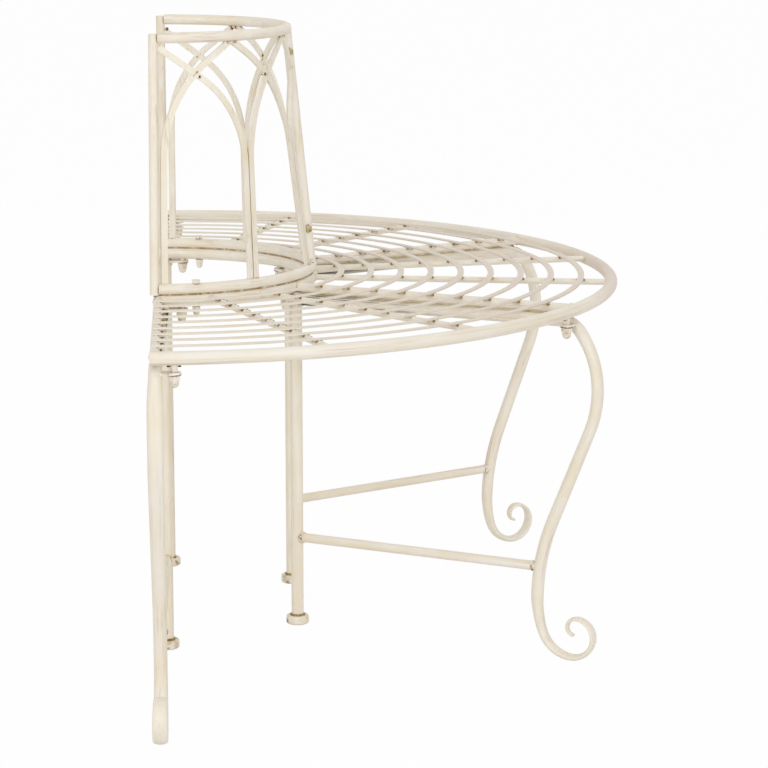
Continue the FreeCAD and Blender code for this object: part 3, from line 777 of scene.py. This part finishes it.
def backWelds():
    welds, spots = [], []
    for angle in archWelds["tips"]:
        middle = onRing(backRadius(archWelds["tipHeight"]), angle, archWelds["tipHeight"])
        for side in (-1, 1):
            place = middle + outAt(angle) * side * archWelds["tipReach"]
            welds.append(beadAt(place, roundAt(angle), outAt(angle), *archWelds["tipBead"]))
    for angle, height in archWelds["crossings"] + archWelds["postEnds"]:
        middle = onRing(backRadius(height), angle, height)
        level, rise = archWelds["crossingSlope"]
        for side in (-1, 1):
            place = middle + outAt(angle) * side * archWelds["crossingReach"]
            slope = roundAt(angle) * level + up * side * rise
            welds.append(beadAt(place, slope, outAt(angle), *archWelds["crossingBead"]))
    for angle in archWelds["feet"]:
        middle = onRing(bench["ringRadius"], angle, archWelds["footHeight"])
        for side in (-1, 1):
            place = middle + outAt(angle) * side * archWelds["footReach"]
            welds.append(beadAt(place, roundAt(angle), up, *archWelds["footBead"]))
    for angle, height, size in archWelds["darkSpots"]:
        middle = onRing(backRadius(height), angle, height)
        for side in (-1, 1):
            place = middle + outAt(angle) * side * archWelds["spotReach"]
            slope = up + roundAt(angle) * dice.uniform(-archWelds["spotSlope"], archWelds["spotSlope"])
            sizes = [length * size for length in archWelds["spot"]]
            spots.append(beadAt(place, slope, outAt(angle), *sizes))
    return (joinPiece("backrest_weld_beads", welds, "bead"),
            joinPiece("backrest_glaze_spots", spots, "darkGlazeAndShadow"))


print("backrest welds:", [len(piece.data.polygons) for piece in backWelds()], "faces")

seam = {
    "thin": 0.0009,  # radii of the runs of paint
    "wide": 0.0016,
    "sides": 8,
    "stepAngle": 3,
    "ringAngles": (3, 177),
    "ringOffset": 0.0034,  # middle of the inner ring to the run on each side
    "railEnds": (0.009, -0.028),  # from the inner ring and from the rim
    "endRailInset": 0.0028,  # an end rail stands nearer the trunk than its bar
    "postEnds": (0.4575, 0.7765),  # heights of the run between the two middle posts
    "postOffset": 0.0027,
    "smoothAngle": 60,
}


def roundSeam(radius, height, start, end, thickness):
    # A run of paint along a ring, spun from one closed disc
    clearSelection()
    bpy.ops.mesh.primitive_circle_add(
        vertices=seam["sides"], radius=thickness, fill_type="NGON",
        location=onRing(radius, start, height), rotation=(math.pi / 2, 0, math.radians(start)))
    bpy.ops.object.transform_apply(location=True, rotation=True, scale=True)
    startEditing()
    bpy.ops.mesh.select_all(action="SELECT")
    bpy.ops.mesh.spin(steps=round((end - start) / seam["stepAngle"]), angle=math.radians(start - end),
                      center=(0, 0, 0), axis=(0, 0, 1))
    mergePoints()
    bpy.ops.mesh.normals_make_consistent(inside=False)
    bpy.ops.object.mode_set(mode="OBJECT")
    return bpy.context.object


def straightSeam(start, end, thickness):
    # A run of paint between two bars, drawn in a little at its ends
    clearSelection()
    line = end - start
    bpy.ops.mesh.primitive_cylinder_add(vertices=seam["sides"], radius=thickness, depth=line.length)
    startEditing()
    selectFaces(lambda normal: abs(normal.z) > 0.9)
    bpy.ops.mesh.inset(thickness=thickness * 0.3, depth=thickness * 0.4)
    bpy.ops.object.mode_set(mode="OBJECT")
    piece = bpy.context.object
    turn = line.to_track_quat("Z", "Y").to_matrix().to_4x4()
    piece.data.transform(Matrix.Translation((start + end) / 2) @ turn)
    return piece


def paintSeams():
    runs, rails = [], []
    ringLevel = bench["seatLevel"] + bench["tube"] / 2
    for side in (-1, 1):
        radius = bench["ringRadius"] + side * seam["ringOffset"]
        runs.append(roundSeam(radius, ringLevel, *seam["ringAngles"], seam["thin"]))
    railTop, barUnder = bench["railLevel"] + bench["tube"] / 2, bench["seatLevel"] - bench["bar"] / 2
    for angle in bench["frameAngles"]:
        ends = [spokeLine(angle, radius + shift, (railTop + barUnder) / 2)
                for radius, shift in zip((bench["ringRadius"], bench["rimRadius"]), seam["railEnds"])]
        if angle in (0, 180):
            ends = [end - Vector((0, seam["endRailInset"], 0)) for end in ends]
        rails.append(straightSeam(*ends, seam["wide"]))
    for side in (-1, 1):
        ends = [Vector((0, side * seam["postOffset"] - backRadius(height), height))
                for height in seam["postEnds"]]
        runs.append(straightSeam(*ends, seam["thin"]))
    return (joinPiece("ring_seams", runs, "seam", seam["smoothAngle"]),
            joinPiece("rail_seams", rails, "paleSeam", seam["smoothAngle"]))


print("seams:", [len(piece.data.polygons) for piece in paintSeams()], "faces")

pad = {
    "radius": 0.015,
    "height": 0.0115,
    "sides": 40,
    "bevel": 0.0030,
    "bevelSteps": 4,
    "lip": 0.0035,  # width of the flat rim round the dish
    "dish": 0.0008,
    "glazeRing": 0.0082,
    "smoothAngle": 50,
}


def footPads():
    # A thick forged disc, round at its edges, with a shallow dish and glaze round the post
    clearSelection()
    bpy.ops.mesh.primitive_cylinder_add(
        vertices=pad["sides"], radius=pad["radius"], depth=pad["height"],
        location=(0, 0, pad["height"] / 2))
    bpy.ops.object.transform_apply(location=True, rotation=False, scale=False)
    bevel = bpy.context.object.modifiers.new("round edges", "BEVEL")
    bevel.width = pad["bevel"]
    bevel.segments = pad["bevelSteps"]
    bevel.limit_method = "ANGLE"
    bpy.ops.object.modifier_apply(modifier=bevel.name)
    startEditing()
    selectFaces(lambda normal: normal.z > 0.99)
    bpy.ops.mesh.inset(thickness=pad["lip"], depth=-pad["dish"])
    disc = takeMesh()
    pads = [placed(disc, place, Vector((1, 0, 0)), up, (1, 1, 1)) for place in postPlaces]
    top = up * (pad["height"] - pad["dish"])
    rings = [collarAt(place + top, up, pad["glazeRing"]) for place in postPlaces]
    joinPiece("pad_glaze_rings", rings, "glaze")
    piece = joinPiece("post_foot_pads", pads, "pads", pad["smoothAngle"])
    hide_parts("foot_pads")
    return piece


print("pads:", len(footPads().data.polygons), "faces")


# Studio: white floor, white surroundings, soft lamps

studio = {
    "white": (1, 1, 1, 1),
    "floorSize": 120,
    "floorDrop": 0.0006,  # just under the feet
    "floorColour": "#F2F0ED",
    "floorGlow": 0.97,  # share of plain white in what is seen of the floor
    "worldStrength": 0.62,
    "lamps": (  # place, size, watts
        ((-8.5, -5.5, 2.6), 5.0, 212),
        ((-8.5, 5.0, 2.6), 5.0, 196),
        ((-1.6, 0.6, 3.2), 2.2, 12),
        ((1.8, -1.6, 2.6), 2.4, 9),
    ),
    "aim": (0.0, -0.25, 0.35),
}


def seenRays(tree):
    # 1 for what is seen straight, in a mirror or through glass, and 0 for light on the bench
    rays = addNode(tree, "ShaderNodeLightPath").outputs
    seen = rays["Is Camera Ray"]
    for ray in ("Is Glossy Ray", "Is Transmission Ray"):
        either = addNode(tree, "ShaderNodeMath", {"operation": "MAXIMUM"}, {0: seen, 1: rays[ray]})
        seen = either.outputs[0]
    return seen


def whiteFloor():
    # Paper that looks nearly plain white, and still keeps the shadow
    bpy.ops.object.select_all(action="DESELECT")
    bpy.ops.mesh.primitive_plane_add(size=studio["floorSize"], location=(0, 0, -studio["floorDrop"]))
    floor = bpy.context.object
    floor.name = "floor"
    material, tree = newMaterial("white_paper_floor")
    paper = addNode(tree, "ShaderNodeBsdfDiffuse", inputs={"Color": hexColour(studio["floorColour"])})
    share = addNode(tree, "ShaderNodeMath", {"operation": "MULTIPLY"}, {
        0: seenRays(tree), 1: studio["floorGlow"]})
    glow = addNode(tree, "ShaderNodeEmission", inputs={"Color": studio["white"], "Strength": 1.0})
    both = addNode(tree, "ShaderNodeMixShader", inputs={
        0: share.outputs[0], 1: paper.outputs[0], 2: glow.outputs[0]})
    addNode(tree, "ShaderNodeOutputMaterial", inputs={"Surface": both.outputs[0]})
    floor.data.materials.append(material)


def whiteRoom():
    world = bpy.data.worlds.new("white_room")
    bpy.context.scene.world = world
    world.use_nodes = True
    tree = world.node_tree
    tree.nodes.clear()
    level = addNode(tree, "ShaderNodeMapRange", inputs={
        "Value": seenRays(tree), "To Min": studio["worldStrength"], "To Max": 1.0})
    room = addNode(tree, "ShaderNodeBackground", inputs={
        "Color": studio["white"], "Strength": level.outputs[0]})
    addNode(tree, "ShaderNodeOutputWorld", inputs={"Surface": room.outputs[0]})


def softLamps():
    for number, (place, size, watts) in enumerate(studio["lamps"]):
        lamp = bpy.data.lights.new("softbox_%d" % number, "AREA")
        lamp.energy = watts
        lamp.size = size
        holder = bpy.data.objects.new(lamp.name, lamp)
        holder.location = place
        ahead = Vector(studio["aim"]) - Vector(place)
        holder.rotation_euler = ahead.to_track_quat("-Z", "Y").to_euler()
        bpy.context.scene.collection.objects.link(holder)


# Solved from the circles and the legs in the photo: metres, degrees and mm
view = {
    "place": (-3.7387, -0.0524, 1.0294), "yaw": -3.826, "pitch": -11.036,
    "lens": 133.81, "sensor": 36, "farthest": 200,
}


def photoCamera():
    eye = bpy.data.cameras.new("photo_view")
    eye.lens = view["lens"]
    eye.sensor_width = view["sensor"]
    eye.clip_end = view["farthest"]
    camera = bpy.data.objects.new("photo_view", eye)
    yaw, pitch = math.radians(view["yaw"]), math.radians(view["pitch"])
    ahead = Vector((math.cos(yaw) * math.cos(pitch), math.sin(yaw) * math.cos(pitch), math.sin(pitch)))
    camera.location = view["place"]
    camera.rotation_euler = ahead.to_track_quat("-Z", "Y").to_euler()
    bpy.context.scene.collection.objects.link(camera)
    bpy.context.scene.camera = camera
    bpy.context.scene.view_settings.view_transform = "Standard"


whiteFloor()
whiteRoom()
softLamps()
photoCamera()
print("studio and camera set")
